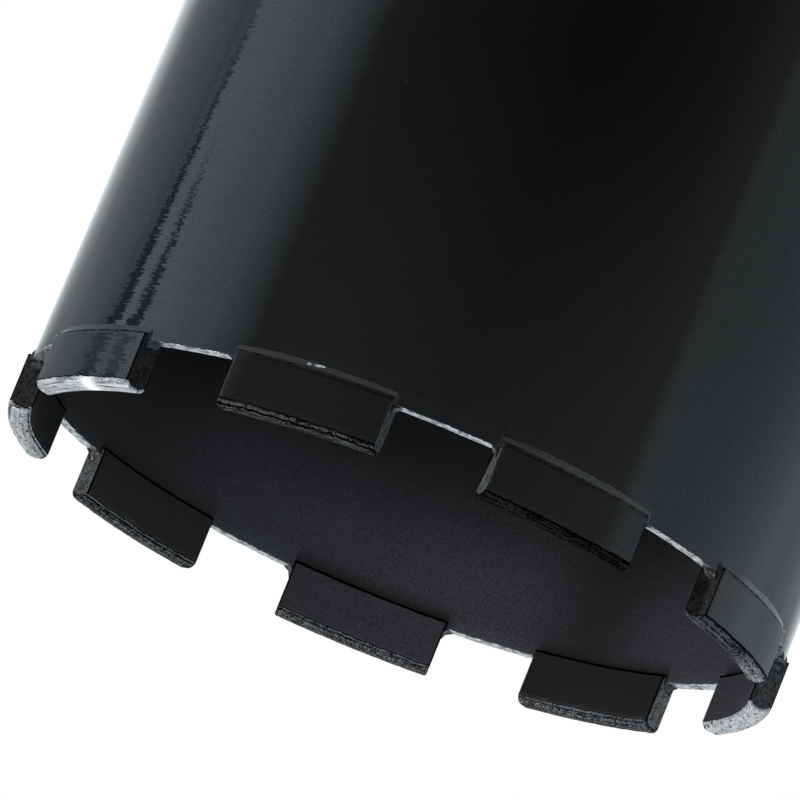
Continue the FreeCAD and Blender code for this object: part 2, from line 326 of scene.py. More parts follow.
class Finish:
    """A material with object coordinates and marks ready to use, and one shader or a second one over it."""

    def __init__(self, name, **constants):
        self.material = bpy.data.materials.new(name)
        self.material.use_nodes = True
        self.tree = self.material.node_tree
        self.root = Wire(self.tree, None)
        self.place = self.root.node("ShaderNodeTexCoord", out="Object")
        self.lathe = self.mark("lathe", out="Vector")
        self.normal = self.root.node("ShaderNodeNewGeometry", out="Normal")
        self.start(self.tree.nodes["Principled BSDF"], constants)

    def start(self, shader, constants):
        self.shader = shader
        for key, value in constants.items():
            shader.inputs[key.replace("_", " ")].default_value = value

    def over(self, mask, **constants):
        """Lay a second shader over the first where mask is 1; set and bump then reach the second."""
        first = Wire(self.tree, self.shader.outputs[0])
        second = self.root.node("ShaderNodeBsdfPrincipled")
        self.start(second.socket.node, constants)
        both = self.root.node("ShaderNodeMixShader", None, n0=mask, n1=first, n2=second)
        self.tree.links.new(both.socket, self.tree.nodes["Material Output"].inputs["Surface"])

    def axis(self, letter):
        """One of the object coordinates, in metres."""
        return self.root.node("ShaderNodeSeparateXYZ", out=letter, n0=self.place)

    def mark(self, name, out="Fac"):
        """The number, or with out="Vector" the vector, that a mesh stores under this name."""
        return self.root.node("ShaderNodeAttribute", {"attribute_name": name}, out=out)

    def noise(self, size, stretch=(1, 1, 1), detail=2.0, roughness=0.5, seed=0.0, place=None):
        """Noise from about 0.2 to 0.8. Its features have this size, times stretch along each axis."""
        moved = self.moved(tuple(1 / (size * s) for s in stretch), seed, place or self.place)
        return self.root.node(
            "ShaderNodeTexNoise", None, Vector=moved, Scale=1.0, Detail=detail, Roughness=roughness)

    def rings(self, size, long, tall, **settings):
        """Noise with features that are long times size round the axis, and tall times size across that."""
        return self.noise(size, (long, long, tall), place=self.lathe, **settings)

    def cells(self, size, seed=0.0):
        """Distance from the nearest of scattered points, in units of their spacing."""
        moved = self.moved((1 / size,) * 3, seed, self.place)
        return self.root.node("ShaderNodeTexVoronoi", None, Vector=moved, Scale=1.0)

    def moved(self, scale, seed, place):
        """A place times scale, then moved by seed along each axis."""
        shift = (seed, seed, seed)
        return self.root.node("ShaderNodeMapping", None, Vector=place, Location=shift, Scale=scale)

    def vector(self, operation, first, second):
        return self.root.node("ShaderNodeVectorMath", {"operation": operation}, n0=first, n1=second)

    def scaled(self, vector, factor):
        """A vector or a colour times a number."""
        return self.root.node("ShaderNodeVectorMath", {"operation": "SCALE"}, Vector=vector, Scale=factor)

    def sway(self, amount):
        """The surface's normal turned about the bit's axis by amount, in radians."""
        tangent = self.vector("CROSS_PRODUCT", (0, 0, 1), self.place)
        turned = self.vector("ADD", self.normal, self.scaled(tangent, amount / (TUBE_OUTER * MM)))
        return self.vector("NORMALIZE", turned, (0, 0, 0))

    def set(self, **links):
        for key, value in links.items():
            self.tree.links.new(value.socket, self.shader.inputs[key.replace("_", " ")])

    def bump(self, height, depth, normal=None):
        """Raise the surface by height, which runs from 0 to 1, times depth in metres."""
        self.set(Normal=self.root.node("ShaderNodeBump", None, Strength=1.0, Distance=depth, Height=height,
                                       Normal=normal or self.normal))


# Finishes

PAINT_BLACK = (0.0052, 0.0055, 0.0062)
PAINT_THIN = (0.024, 0.0243, 0.0270)
NEARLY_BLACK = (0.0018, 0.0019, 0.0021)
SHADE_LINE_BLACK = (0.0006, 0.0006, 0.0006)
SHEEN_GREY = (0.150, 0.153, 0.160)
RIM_DIRT = (0.03, 0.031, 0.033)
RIM_STEEL = (0.47, 0.475, 0.48)
BRAZE_DULL = (0.30, 0.31, 0.32)
BRAZE_BRIGHT = (0.75, 0.76, 0.77)
HUB_DARK = (0.33, 0.335, 0.34)
HUB_LIGHT = (0.39, 0.395, 0.40)
# Painted highlight: near white, in place of a lamp's reflection
HIGHLIGHT_WHITE = (0.95, 0.96, 0.97)
COOL = (1.0, 1.01, 1.03)
PAINT_IOR = 1.55
# Crowns darker than the first are dull, and those lighter than the second shine like metal
DULL_TONE = 0.1
SHINY_TONE = 0.08
# Places on the bit in metres: where the teeth of the reflections get coarse and fine again, where painted
# shade makes the inside darker, the middle of the painted dark streak of shade inside, and where painted
# light makes the inside lighter towards the rim
TEETH_COARSE_X = (0.034, 0.042)
TEETH_FINE_X = (0.050, 0.054)
INSIDE_SHADE_X = (0.020, 0.040)
INSIDE_SHADE_STREAK_X = -0.032
INSIDE_RIM_LIGHT_Z = (0.172, 0.192)


def times(colour, factor):
    return tuple(c * factor for c in colour)


def lay_paint(finish, base, teeth_amount=0.10):
    """Colour, metallic grain, rings of tool marks and normal of gloss black paint over a turned surface.

    The normal sways round the axis in streaks that are 2 mm long and 0.3 mm tall, so that the edges of
    reflections break up into teeth. The teeth are coarse on the +X side. Fine grain makes colour and
    reflection uneven."""
    teeth = finish.rings(0.0007, 2.4, 0.42, detail=3.0, roughness=0.65, seed=4.0)
    slow = finish.rings(0.006, 1.5, 0.7, detail=1.0, seed=8.0)
    lines = finish.rings(0.0006, 18, 0.5, detail=3.0, seed=1.0)
    grain = finish.noise(0.00026, detail=2.0, roughness=0.7)
    uneven = 1 + (grain - 0.5) * 3.2 + (lines - 0.5) * 0.5
    x = finish.axis("X")
    coarse = (x.step(*TEETH_COARSE_X) * x.step(*TEETH_FINE_X, 1.0, 0.0) * 0.7 + 0.3) * teeth_amount
    normal = finish.sway((teeth - 0.5) * coarse + (slow - 0.5) * 0.012)
    return finish.scaled(base, uneven), grain.step(0.38, 0.62, 0.0, 0.34), lines, normal


def plain_paint(name, roughness):
    """The same paint on a plate or a weld, a little less glossy."""
    finish = Finish(name, IOR=1.5)
    colour, _, lines, normal = lay_paint(finish, PAINT_BLACK)
    finish.set(Base_Color=colour, Roughness=roughness + (lines - 0.5) * 0.08)
    finish.bump(lines, 4e-6, normal)
    return finish.material


def barrel_finish():
    """Gloss black paint over turned steel, with dust pits, and with steel worn bare at the rim.

    Inside it is thin and greyer, with painted shade on one side and in a streak, painted light near the rim,
    and painted shade below the segments."""
    finish = Finish("barrel_paint", IOR=PAINT_IOR)
    inner = finish.mark("inner")
    x = finish.axis("X")
    # Painted light and shade inside: darker on one side and in a streak, and lighter towards the rim
    painted_shade_patches = x.step(*INSIDE_SHADE_X, 1.1, 0.45) * (1 - x.bell(INSIDE_SHADE_STREAK_X, 0.008) * 0.6)
    painted_rim_light = finish.axis("Z").step(*INSIDE_RIM_LIGHT_Z, 0.35, 1.5)
    # The thin paint inside is scaled by painted light and shade, and darkened by painted shade below the
    # segments
    thin_paint_lit_and_shaded = finish.scaled(PAINT_THIN, painted_rim_light * painted_shade_patches * (1 - finish.mark("soot") * 0.8))
    colour, speckle, lines, normal = lay_paint(finish, inner.blend(PAINT_BLACK, thin_paint_lit_and_shaded))
    pits = finish.cells(0.015, seed=2.3).step(0.009, 0.015, 1.0, 0.0)
    ragged = finish.noise(0.0007, detail=4.0, roughness=0.7, seed=5.0)
    scratch = finish.rings(0.0006, 4, 1.0, detail=3.0, roughness=0.7, seed=6.0)
    worn = finish.mark("bare")
    broken = ((ragged - 0.5) * 1.8 + (scratch - 0.5) * 1.4) * worn.step(0.05, 0.5)
    bare = (worn + broken).step(0.44, 0.56)
    specks = finish.rings(0.0006, 2.2, 3.0, detail=3.0, roughness=0.7, seed=12.0)
    clean = (scratch * 0.25 + ragged * 0.2 + specks * 0.55).step(0.45, 0.53)
    metal = clean.blend(RIM_DIRT, RIM_STEEL)
    finish.set(
        Base_Color=pits.blend(bare.blend(colour, metal), NEARLY_BLACK),
        Metallic=bare * 0.85 + speckle * (1 - bare) * (1 - inner),
        Roughness=(0.035 + inner * 0.36 + pits * 0.5) * (1 - bare) + bare * 0.36,
    )
    finish.bump(lines * 0.25 + bare * scratch * 2.0, 4e-6, normal)
    return finish.material


def crown_metal(finish, look, fine, grain, cloud, streaks):
    """Colour of a crown, and how far its pits and groove are sunk, from 0 to 1.

    It is streaked along its length. It can have pits, a broken groove with a bright lip along its inner edge,
    a painted highlight spot, or a lighter clockwise end. A dull crown has painted shade along its outer edge,
    and the pits and groove carry painted shade."""
    # The crown's tone is partly painted reflection: each crown is set lighter or darker by its place around
    # the bit
    tone = look.tone
    dull = tone < DULL_TONE
    down = finish.mark("down") + (cloud - 0.5) * 0.25
    inwards = finish.mark("depth").step(0.45, 0.55)
    along = finish.mark("across")
    off_groove = (down - (inwards * 0.36 + 0.32)).math("ABSOLUTE")
    groove = off_groove.step(0.08, 0.14, look.groove, 0.0) * streaks.step(0.38, 0.48)
    lip = (down - 0.88).math("ABSOLUTE").step(0.06, 0.11, 1.0, 0.0) * grain.step(0.40, 0.50)
    holes = finish.cells(0.0010).step(0.24, 0.32, look.pits, 0.0) * cloud.step(0.40, 0.50)
    uneven = fine * 0.4 + grain * 0.35 + cloud * 0.25 + (streaks - 0.5) * look.streaked
    shade = (uneven + (grain - 0.5) * 0.5).step(0.45, 0.62) if dull else uneven.step(0.38, 0.60)
    colour = shade.blend(times(COOL, tone * (0.12 if dull else 0.45)), times(COOL, tone * 1.6))
    colour = (lip * inwards * look.groove).blend(colour, times(COOL, tone * 1.8 + 0.03))
    if dull:
        # Painted shade: a dull crown is darkened along its rounded outer edge
        outer_edge_shade = (down - inwards).step(0.70, 0.86, 1.0, 0.12)
        colour = finish.scaled(colour, outer_edge_shade * along.step(0, 10, 1.0, 1.0 + look.lighter))
    # Painted shade: the sunk pits and groove are darkened to a small share of the crown's tone
    sunk = (holes + groove).math("MINIMUM", 1.0)
    # Painted highlight: a near-white spot in the middle of the crown, in place of a lamp's reflection
    spot = along.bell(3.0, 1.7) * (0.9 * look.polish)
    return spot.blend(sunk.blend(colour, times(COOL, tone * 0.03)), HIGHLIGHT_WHITE), sunk


def end_metal(finish, look, rest, fine, grain, cloud):
    """Colour of the ends: gritty metal, with the share rest of its tone left outside the mark strip."""
    gritty = (cloud * 0.3 + grain * 0.35 + fine * 0.35).step(0.42, 0.58)
    colour = gritty.blend(times(COOL, look.end_grey * 0.3), times(COOL, look.end_grey * 1.6))
    return finish.scaled(colour, finish.mark("strip") * (1 - rest) + rest)


def segment_finish(name, look, rest):
    """Black paint on the sides, and dull sintered metal on the crown and the ends.

    Black lines of painted shade follow the edges, the root and the crown's border."""
    finish = Finish(name, IOR=PAINT_IOR)
    fine = finish.noise(0.00017, detail=2.0, roughness=0.6, seed=9.0)
    grain = finish.noise(0.00034, detail=3.0, roughness=0.65, seed=1.0)
    cloud = finish.noise(0.0011, detail=4.0, roughness=0.7, seed=7.0)
    streaks = finish.rings(0.0005, 14, 1, detail=2.0, roughness=0.6, seed=3.0)
    inner, end, edge = (finish.mark(m) for m in ("inner", "end", "edge"))
    border = finish.mark("bare") + (grain - 0.5) * 0.35
    crown = border.step(0.46, 0.56)
    # Painted shade: a black line along the crown's border, joined with the edge mark's lines along the edges
    # and the root
    outline = border.step(0.16, 0.30) * (1 - border.step(0.50, 0.70))
    line = (outline * 0.9 + (edge + (cloud - 0.5) * 0.5).step(0.30, 0.50)).math("MINIMUM", 1.0)
    thin = times(PAINT_THIN, look.inner_grey)
    paint, speckle, lines, normal = lay_paint(finish, inner.blend(PAINT_BLACK, thin), 0.2)
    finish.set(Base_Color=paint, Metallic=speckle * (1 - inner), Roughness=0.11 + inner * 0.29)
    finish.bump(lines * 0.05, 2e-5, normal)

    crown_tone, sunk = crown_metal(finish, look, fine, grain, cloud, streaks)
    end_tone = end_metal(finish, look, rest, fine, grain, cloud)
    shine = max(0.0, 1.6 * (look.tone - SHINY_TONE))
    finish.over((crown + end + line).math("MINIMUM", 1.0), Specular_IOR_Level=0.0)
    finish.set(
        Base_Color=line.blend(crown.blend(end_tone, crown_tone), SHADE_LINE_BLACK),
        Metallic=crown * (1 - line) * shine,
        Roughness=0.5 - crown * 0.08,
    )
    relief = (1 - crown) * (grain + cloud) * 1.6 + crown * (grain * 2.0 + streaks * 2.0 - sunk * 4.0)
    finish.bump(relief, 2e-5)
    return finish.material


def braze_finish():
    """Braze, painted over with the barrel, with bare bright flecks, and a pale grey painted sheen on some
    seams.
    """
    finish = Finish("braze_metal", IOR=1.5, Specular_IOR_Level=0.4)
    grain = finish.noise(0.0005, detail=3.0, roughness=0.6)
    cloud = finish.noise(0.0012, detail=3.0, roughness=0.6, seed=3.0)
    bare = (finish.mark("bare") + (cloud - 0.5) * 1.2).step(0.50, 0.60)
    metal = grain.step(0.3, 0.7).blend(BRAZE_DULL, BRAZE_BRIGHT)
    paint = cloud.blend(times(PAINT_BLACK, 0.8), times(PAINT_BLACK, 2.2))
    # Painted sheen: the mark pale lays pale grey over the seam's black paint, where a smooth fillet would
    # catch the light
    paint = (finish.mark("pale") * grain.step(0.35, 0.6, 0.3, 1.0)).blend(paint, SHEEN_GREY)
    finish.set(
        Base_Color=bare.blend(paint, metal),
        Metallic=bare * 0.8,
        Roughness=0.42 + bare * 0.16 + (grain - 0.5) * 0.3,
    )
    finish.bump(grain + cloud, 1.6e-5)
    return finish.material


def steel_finish():
    """Bare turned steel: fine tool lines round the axis, straight ones on the flats, and dull patches."""
    finish = Finish("hub_steel", Metallic=1.0)
    turned = finish.rings(0.0005, 60, 1.0, detail=3.0, roughness=0.6)
    milled = finish.noise(0.0005, (60, 60, 1), detail=3.0, roughness=0.6, seed=2.0)
    flat = finish.mark("flat")
    lines = turned * (1 - flat) + milled * flat
    cloud = finish.noise(0.011, detail=3.0, roughness=0.5, seed=3.0)
    colour = cloud.step(0.3, 0.7).blend(HUB_DARK, HUB_LIGHT)
    finish.set(
        Base_Color=finish.scaled(colour, 1 + (lines - 0.5) * 0.5),
        Roughness=0.30 + (cloud - 0.5) * 0.1,
    )
    finish.bump(lines, 1.2e-5)
    return finish.material


# Pieces

def finish_piece(piece, node, material):
    """Give a new piece its finish and let it stand for its node."""
    piece.data.materials.append(material)
    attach(piece, "root")
    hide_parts(node)
    return piece


WALL_MIDDLE = (TUBE_OUTER + TUBE_INNER) / 2
HALF_SEAT = SEGMENT_LENGTH / 2 + BRAZE_FILM
SEAT_WALL_STEP = 0.02
RIM_EDGE = 0.13
REAR_EDGE = 0.25
ROOT_SHADE_REACH = 3.2
# The columns are parallel within this angle from a station's middle, and radial beyond the second one
PARALLEL_ANGLES = (math.radians(14), math.radians(19))


def tube_columns():
    """Angles of the tube's columns over one station, measured from its middle.

    At each side wall of the seat two columns nearly meet, one on either side of it, and make the wall."""
    wall = math.asin(HALF_SEAT / WALL_MIDDLE)
    gap = SEAT_WALL_STEP / WALL_MIDDLE
    inside = np.linspace(0, wall - gap, 22)
    outside = np.linspace(wall + gap, PITCH_ANGLE / 2, 26)
    right = np.concatenate([inside, outside])
    return np.concatenate([-right[-2::-1], right[1:]])


def make_barrel(material):
    """Tube with seats: a closed outline of radius and height is carried round the axis.

    Near a seat the columns keep a constant distance across, so that the seat's side walls are parallel, and
    half a pitch away they are radial again. The rim's edges are quarter circles of about RIM_EDGE, and its
    height wavers by 0.04 mm. The mark bare grows over the edges and is whole on the rim."""
    lean = tube_columns()
    columns = len(lean) * STATIONS
    across = np.tile(WALL_MIDDLE * np.sin(lean), STATIONS)
    lean_all = np.tile(lean, STATIONS)
    middle = np.repeat([station_angle(k + 1) for k in range(STATIONS)], len(lean))
    parallel = 1 - smooth_step(*PARALLEL_ANGLES, np.abs(lean_all))
    in_seat = np.abs(across) < HALF_SEAT
    turn = middle + lean_all
    circle = np.stack([np.cos(turn) * WALL_MIDDLE, np.sin(turn) * WALL_MIDDLE, np.zeros(columns)], axis=-1)
    waver = layered_noise(circle, 1.6, 3, seed=11) * 0.045
    rim = np.where(in_seat, RIM - SEAT_DEPTH, RIM - 0.05 + np.minimum(waver, 0.05))
    edge = RIM_EDGE + 0.05 * layered_noise(circle, 2.5, 2, seed=12)
    wall_foot = BARREL_REAR + REAR_EDGE
    wall_shares = np.concatenate([np.linspace(0, 0.9, 16), [0.96, 0.985]])
    wall_heights = [wall_foot + share * (rim - edge - wall_foot) for share in wall_shares]
    edge_shares = (0.0, 0.25, 0.5, 0.75, 1.0)

    def rim_edge(radius, inwards, share):
        """Radius, height and bareness on a rounded edge, from the wall at share 0 to the rim at share 1."""
        turned = share * QUARTER
        out = edge * (1 - math.cos(turned))
        return radius + inwards * out, rim - edge * (1 - math.sin(turned)), 0.15 + 0.7 * share

    rows = [(TUBE_OUTER, z, 0.0) for z in wall_heights]
    rows += [rim_edge(TUBE_OUTER, -1, share) for share in edge_shares]
    for share in (0.2, 0.4, 0.6, 0.8):
        rows.append((TUBE_OUTER - edge - share * (TUBE_OUTER - TUBE_INNER - 2 * edge), rim, 1.0))
    rows += [rim_edge(TUBE_INNER, 1, share) for share in edge_shares[::-1]]
    rows += [(TUBE_INNER, z, 0.0) for z in wall_heights[::-1]]
    rows += [(radius, BARREL_REAR, 0.0) for radius in (TUBE_INNER + REAR_EDGE, TUBE_OUTER - REAR_EDGE)]
    radius, height, bare = (np.stack([np.broadcast_to(v, columns) for v in values]) for values in zip(*rows))
    straight = np.arcsin(np.clip(across[None, :] / radius, -1, 1))
    angle = middle[None, :] + parallel * straight + (1 - parallel) * lean_all
    points = np.stack([radius * np.cos(angle), radius * np.sin(angle), height], axis=-1)
    inner = 1 - smooth_step(TUBE_INNER + 0.2, TUBE_OUTER - 0.6, radius)
    # Painted shade: the inside wall is darkened below each seat, under the segments
    soot = in_seat * smooth_step(RIM - ROOT_SHADE_REACH, RIM - SEAT_DEPTH, height)
    shell = Shell()
    shell.ring(points, bare=bare, inner=inner, soot=soot)
    return finish_piece(shell.piece("barrel"), "core_barrel", material)


ROOT_ROUND = 0.15
CROWN_ROUND = 1.3
END_ROUND = 0.3
# Corners of a segment's section: radius, height, rounding, which way the corner points in radius and height,
# first quarter of its arc, points on the arc, and points on the straight that follows
SECTION_CORNERS = (
    (BIT_RADIUS, ROOT, ROOT_ROUND, 1, -1, -1, 4, 14),
    (BIT_RADIUS, CROWN, CROWN_ROUND, 1, 1, 0, 10, 24),
    (SEGMENT_INNER, CROWN, CROWN_ROUND, -1, 1, 1, 10, 14),
    (SEGMENT_INNER, ROOT, ROOT_ROUND, -1, -1, 2, 4, 8),
)
# How far the closed ends of a segment are drawn in towards the middle, row by row
CAP_SHARES = np.array([0.0, 0.25, 0.45, 0.6, 0.7, 0.78, 0.84, 0.89, 0.93, 0.96, 0.985])


def rounded_section(inset):
    """Section of a segment as a closed loop of radius and height, anticlockwise from the root's outer corner.

    It is a rectangle moved inwards by inset, with large roundings at the crown and small ones at the root."""
    arcs = []
    for r, z, rounding, outwards, upwards, first, count, _ in SECTION_CORNERS:
        keep = max(rounding - inset, 0.02)
        turn = np.linspace(first, first + 1, count) * QUARTER
        arc_r = r - outwards * (inset + keep) + keep * np.cos(turn)
        arc_z = z - upwards * (inset + keep) + keep * np.sin(turn)
        arcs.append(np.stack([arc_r, arc_z], axis=-1))
    filled = []
    for arc, following, corner in zip(arcs, arcs[1:] + arcs[:1], SECTION_CORNERS):
        share = np.linspace(0, 1, corner[-1] + 2)[1:-1, None]
        filled += [arc, arc[-1] + share * (following[0] - arc[-1])]
    return np.concatenate(filled)


def make_segment(number, material, wear, strip_root, strip_crown):
    """Segment: a rounded section carried along the station's tangent, with flat ends that close to a point.

    The section follows circles about the bit's axis, so that the faces are curved and the ends parallel. The
    crown and its edges are then worn inwards by layered noise: shallow pits everywhere, and chips along the
    edges. On the ends, the mark strip covers a share of the thickness from the outer side, which changes from
    root to crown."""
    half = SEGMENT_LENGTH / 2
    body = np.linspace(-half + END_ROUND, half - END_ROUND, 150)
    straight = np.zeros(len(body))
    turn = np.linspace(0, QUARTER, 6)[1:]
    ends = half - END_ROUND + END_ROUND * np.sin(turn)
    end_insets = END_ROUND * (1 - np.cos(turn))
    end_corners = np.sin(2 * turn)
    places = np.concatenate([-ends[::-1], body, ends])
    insets = np.concatenate([end_insets[::-1], straight, end_insets])
    corners = np.concatenate([end_corners[::-1], straight, end_corners])
    loops = np.stack([rounded_section(inset) for inset in insets])
    centre = np.array([(SEGMENT_INNER + BIT_RADIUS) / 2, (ROOT + CROWN) / 2])
    left_cap = centre + (loops[0] - centre) * CAP_SHARES[:, None, None]
    right_cap = centre + (loops[-1] - centre) * CAP_SHARES[::-1, None, None]
    loops = np.concatenate([left_cap, loops, right_cap])
    caps = len(CAP_SHARES)
    places = np.pad(places, caps, mode="edge")
    corners = np.pad(corners, caps)
    across = np.broadcast_to(places[:, None], loops.shape[:2])
    radius, height = loops[..., 0], loops[..., 1]
    place = np.stack([across, radius, height], axis=-1) + number * 40.0
    to_top = CROWN - height
    edge_near = np.minimum(np.minimum(BIT_RADIUS - radius, radius - SEGMENT_INNER), half - np.abs(across))
    crown_zone = 1 - smooth_step(0.9, 1.6, to_top)
    pits = np.maximum(layered_noise(place, 0.55, 2, seed=21), 0) * 0.07
    pits = pits + np.abs(noise(place, 2.2, seed=23)) * 0.04
    ragged = smooth_step(0.25, 0.85, layered_noise(place, 1.5, 3, seed=25))
    ragged = ragged * (1 - smooth_step(0.2, 1.2, edge_near))
    worn = crown_zone * (pits + ragged * wear * 0.12)
    inward = centre - loops
    inward = inward / np.maximum(np.linalg.norm(inward, axis=-1, keepdims=True), 1e-6)
    push = np.stack([0.45 * inward[..., 0], inward[..., 1]], axis=-1) * worn[..., None]
    radius = radius + push[..., 0]
    height = height + push[..., 1]
    on_cap = np.concatenate([1 - CAP_SHARES, np.zeros(len(loops) - 2 * caps), 1 - CAP_SHARES[::-1]])
    to_border = to_top + 0.07 * layered_noise(place, 0.9, 3, seed=27)
    bare = (1 - smooth_step(0.70, 1.40, to_border)) * (1 - smooth_step(0.02, 0.10, on_cap))[:, None]
    end_mark = smooth_step(half - 0.25, half - 0.08, np.abs(across)) * np.ones_like(radius)
    inner = (1 - smooth_step(SEGMENT_INNER + 0.1, SEGMENT_INNER + 0.6, radius)) * np.ones_like(radius)
    depth = (BIT_RADIUS - radius) / SEGMENT_THICKNESS
    strip_edge = strip_root + (strip_crown - strip_root) * (height - ROOT) / SEGMENT_HEIGHT
    strip = 1 - smooth_step(-0.06, 0.06, depth - strip_edge + 0.04 * noise(place, 0.7, seed=29))
    # Painted shade: dark lines along the rounded end edges and along the root, stronger on the inner face
    along_sides = smooth_step(0.5, 1.2, to_top)
    root_shade_line = (1 - smooth_step(0.2, 0.45, height - ROOT)) * (0.45 + 0.55 * inner)
    edge_shade_line = np.maximum(corners[:, None] * along_sides * (0.5 + 0.5 * inner), root_shade_line)
    shell = Shell()
    shell.bar(
        at_station(across, radius, height, number),
        bare=bare,
        end=end_mark,
        inner=inner,
        edge=edge_shade_line,
        across=across,
        depth=depth,
        down=to_border,
        strip=strip,
    )
    piece = shell.piece(f"segment_body_{number}")
    return finish_piece(piece, f"segment_{number}", material)


def seam_height(across, height, seed):
    """How far the outer seam stands off the barrel.

    It falls from its full height at the segment's root outline to nothing at the seam's width, with a narrow
    groove against the segment. The width is greatest at the middle and wavers on the way."""
    half = SEGMENT_LENGTH / 2
    out_x = np.maximum(np.abs(across) - half, 0)
    out_z = np.maximum(ROOT - height, 0)
    distance = np.hypot(out_x * 1.5, out_z)
    spot = np.stack(np.broadcast_arrays(across, height, seed * 30.0), axis=-1)
    width = SEAM_WIDTH * (1.0 + 0.13 * layered_noise(spot, (3.0, 3.0, 3.0), 2, seed=31))
    lens = 1.08 - 0.35 * (across / half) ** 2
    slope = np.clip(1 - distance / (width * lens), 0, 1) ** 1.25
    groove = 1 - smooth_step(0.02, 0.16, distance)
    bumps = 0.03 * layered_noise(spot, 1.4, 2, seed=33)
    sunk = 0.05 * (1 - smooth_step(0.0, 0.1, slope))
    return SEAM_HEIGHT * slope * (1 - 0.35 * groove) + bumps * slope - sunk


SEAM_SIDE_MARGIN = 1.6
SEAM_LOW_MARGIN = 2.1
SEAM_BURIED = 0.3
# Distances across between which the painted sheen of a seam begins
SHEEN_FROM = (-9.0, -3.0)


def add_seam(shell, number, flecks, pale):
    """Outer seam: a relief over a patch of the barrel's outside, closed by a back inside the wall."""
    half = SEGMENT_LENGTH / 2
    side = np.linspace(half, half + SEAM_SIDE_MARGIN, 14)
    x = np.concatenate([-side[::-1], np.linspace(-half, half, 90)[1:-1], side])
    z = np.concatenate([np.linspace(ROOT - SEAM_LOW_MARGIN, ROOT, 22), np.linspace(ROOT, RIM - 0.1, 8)[1:]])
    across, height = np.meshgrid(x, z, indexing="ij")
    stand = seam_height(across, height, number)
    front = at_station(across, TUBE_OUTER + stand, height, number)
    back = at_station(across, np.full_like(across, TUBE_OUTER - SEAM_BURIED), height, number)
    closed = capped(np.concatenate([front, back[:, ::-1]], axis=1))
    bare = np.zeros(across.shape)
    for centre_x, centre_z, long, tall in flecks:
        gap = np.hypot((across - centre_x) / long, (height - centre_z) / tall)
        bare = np.maximum(bare, 1 - smooth_step(0.6, 1.2, gap))
    marks = np.concatenate([bare, np.zeros_like(bare)], axis=1)
    marks = np.concatenate([marks[:1], marks, marks[-1:]])
    sheen_share = pale * smooth_step(*SHEEN_FROM, closed[:, ::-1] @ station_tangent(number))
    shell.bar(closed[:, ::-1], bare=marks[:, ::-1], pale=sheen_share)


FILLET_IN_END = 0.1
FILLET_IN_RIM = 0.35


def add_fillet(shell, number, side, bare):
    """Hollow fillet between the rim and one end of the segment, carried through the wall's thickness.

    Its outline is the corner, out along the rim, back on an arc that bows towards the corner, and down the
    end. It grows from the wall's inside to its outside with the share of the way to the power 0.6."""
    half = SEGMENT_LENGTH / 2
    end = half - FILLET_IN_END
    foot = RIM - FILLET_IN_RIM
    arc = np.linspace(0, QUARTER, 12)
    leg = BRAZE_FILLET
    outline_x = np.concatenate([[end, half + leg * 0.5], half + leg * (1 - np.sin(arc)), [end]])
    outline_z = np.concatenate([[foot, foot], RIM + leg * (1 - np.cos(arc)) - 0.04, [RIM + leg * 0.5]])
    radius = np.linspace(TUBE_INNER + 0.02, TUBE_OUTER - 0.02, 16)[:, None]
    size = 0.62 + 0.38 * np.linspace(0, 1, 16)[:, None] ** 0.6
    spot = np.stack(np.broadcast_arrays(outline_x + number * 17.0 + side * 5, outline_z, radius), axis=-1)
    waver = 0.09 * layered_noise(spot, 0.8, 3, seed=41)
    x = side * (end + (outline_x - end) * size + waver * (outline_x > half))
    z = foot + (outline_z - foot) * size + waver * (outline_z > RIM)
    rows = at_station(x, radius, z, number)
    closed = capped(rows if side > 0 else rows[:, ::-1])
    shell.bar(closed, bare=np.full(closed.shape[:2], bare), pale=np.zeros(closed.shape[:2]))


def make_braze(number, material, flecks, bare, pale):
    """Braze of one segment: the seam on the barrel's outside and a fillet at each end."""
    shell = Shell()
    add_seam(shell, number, flecks, pale)
    for side in (-1, 1):
        add_fillet(shell, number, side, bare)
    return finish_piece(shell.piece(f"braze_line_{number}"), f"braze_{number}", material)


def turned_grid(outline, angles):
    """Carry an outline of radius and height round the axis."""
    radius, height = np.asarray(outline, float).T
    return np.stack(np.broadcast_arrays(
        radius[:, None] * np.cos(angles), radius[:, None] * np.sin(angles), height[:, None]), axis=-1)


def make_plate(material):
    """Back plate: a flat ring with lightly broken edges."""
    inner = SPIGOT_RADIUS + PLATE_GAP
    outer = TUBE_INNER - PLATE_GAP
    across = (inner + PLATE_EDGE, 30, 45, outer - PLATE_EDGE)
    outline = [
        (inner, PLATE_REAR + PLATE_EDGE), *((radius, PLATE_REAR) for radius in across),
        (outer, PLATE_REAR + PLATE_EDGE), (outer, PLATE_FRONT - PLATE_EDGE),
        *((radius, PLATE_FRONT) for radius in across[::-1]), (inner, PLATE_FRONT - PLATE_EDGE),
    ]
    shell = Shell()
    shell.ring(turned_grid(outline, np.linspace(0, TAU, 361)[:-1])[:, ::-1])
    return finish_piece(shell.piece("rear_plate"), "back_plate", material)


def thread_radius(angle, height):
    """Wall of the female thread: a flat-topped groove that climbs one pitch a turn, right-handed.

    Along one pitch the radius rises in a straight flank from the core to the full depth, and falls again."""
    phase = (height / THREAD_PITCH - angle / TAU) % 1.0
    flank = np.abs(phase - 0.5) * 2
    return THREAD_CORE + THREAD_DEPTH * np.clip((flank - 0.25) / 0.62, 0, 1)


